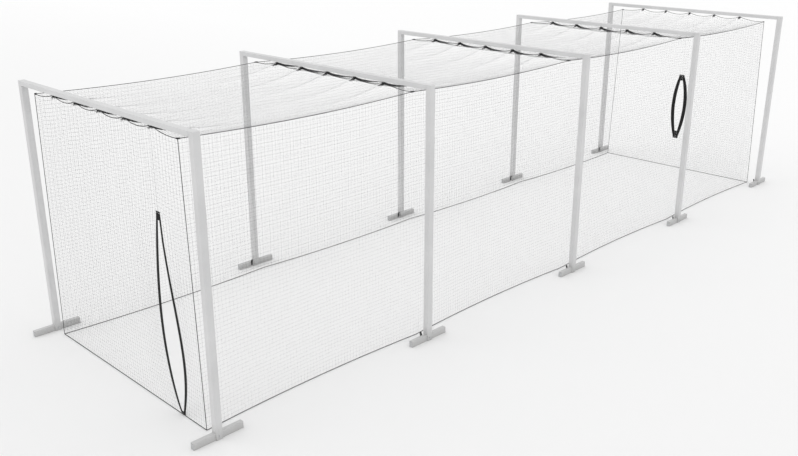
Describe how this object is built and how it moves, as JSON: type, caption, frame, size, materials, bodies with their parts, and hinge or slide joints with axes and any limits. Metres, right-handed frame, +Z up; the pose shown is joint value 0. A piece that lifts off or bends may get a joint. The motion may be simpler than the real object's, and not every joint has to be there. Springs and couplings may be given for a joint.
{
  "type": "baseball batting cage",
  "caption": "Free-standing baseball batting cage: a net tunnel hung from square-tube portal frames on foot bars, with a slit door in each end wall.",
  "frame": {"origin": "on the ground, in the middle of the cage's length and width", "axes": "+Y along the cage, from the end with the tall slit door to the end with the short one; +X to the right looking along +Y, on the tall slit's side; +Z up"},
  "size_m": [4.14, 14.92, 3.64],
  "materials": {
    "frame": "light grey powder coat, satin",
    "spigot": "zinc plated",
    "net": "knotted dark twine, square mesh",
    "rope": "twisted dark rope",
    "webbing": "black woven webbing, folded over the net's edge"
  },
  "bodies": {
    "cage": {"border_rope_left": "rope", "border_rope_right": "rope", "crossbar_1": "frame", "crossbar_2": "frame", "crossbar_3": "frame", "crossbar_4": "frame", "crossbar_5": "frame", "crossbar_spigot_1_left": "spigot", "crossbar_spigot_1_right": "spigot", "crossbar_spigot_2_left": "spigot", "crossbar_spigot_2_right": "spigot", "crossbar_spigot_3_left": "spigot", "crossbar_spigot_3_right": "spigot", "crossbar_spigot_4_left": "spigot", "crossbar_spigot_4_right": "spigot", "crossbar_spigot_5_left": "spigot", "crossbar_spigot_5_right": "spigot", "floor_rope_far": "rope", "floor_rope_near": "rope", "foot_bar_1_left": "frame", "foot_bar_1_right": "frame", "foot_bar_2_left": "frame", "foot_bar_2_right": "frame", "foot_bar_3_left": "frame", "foot_bar_3_right": "frame", "foot_bar_4_left": "frame", "foot_bar_4_right": "frame", "foot_bar_5_left": "frame", "foot_bar_5_right": "frame", "hanging_rope_1": "rope", "hanging_rope_2": "rope", "hanging_rope_3": "rope", "hanging_rope_4": "rope", "hanging_rope_5": "rope", "net_far_end": "net", "net_left": "net", "net_near_end": "net", "net_right": "net", "net_roof": "net", "post_1_left": "frame", "post_1_right": "frame", "post_2_left": "frame", "post_2_right": "frame", "post_3_left": "frame", "post_3_right": "frame", "post_4_left": "frame", "post_4_right": "frame", "post_5_left": "frame", "post_5_right": "frame"},
    "near_slit_edge_left": {"near_binding_left": "webbing", "near_flap_left": "net"},
    "near_slit_edge_right": {"near_binding_right": "webbing", "near_flap_right": "net"},
    "far_slit_edge_left": {"far_binding_left": "webbing", "far_flap_left": "net"},
    "far_slit_edge_right": {"far_binding_right": "webbing", "far_flap_right": "net"}
  },
  "joints": [
    {"name": "near_left_edge_swing", "type": "hinge", "parent": "cage", "child": "near_slit_edge_left", "pos_m": [1.23, -7.12, 1.2795], "axis": [-0.0631, 0, 0.998], "range_deg": [-60, 60]},
    {"name": "near_right_edge_swing", "type": "hinge", "parent": "cage", "child": "near_slit_edge_right", "pos_m": [1.23, -7.12, 1.2795], "axis": [-0.0631, 0, 0.998], "range_deg": [-60, 60]},
    {"name": "far_left_edge_swing", "type": "hinge", "parent": "cage", "child": "far_slit_edge_left", "pos_m": [-0.034, 7.12, 1.4325], "axis": [0.0098, 0, 1], "range_deg": [-60, 60]},
    {"name": "far_right_edge_swing", "type": "hinge", "parent": "cage", "child": "far_slit_edge_right", "pos_m": [-0.034, 7.12, 1.4325], "axis": [0.0098, 0, 1], "range_deg": [-60, 60]}
  ]
}
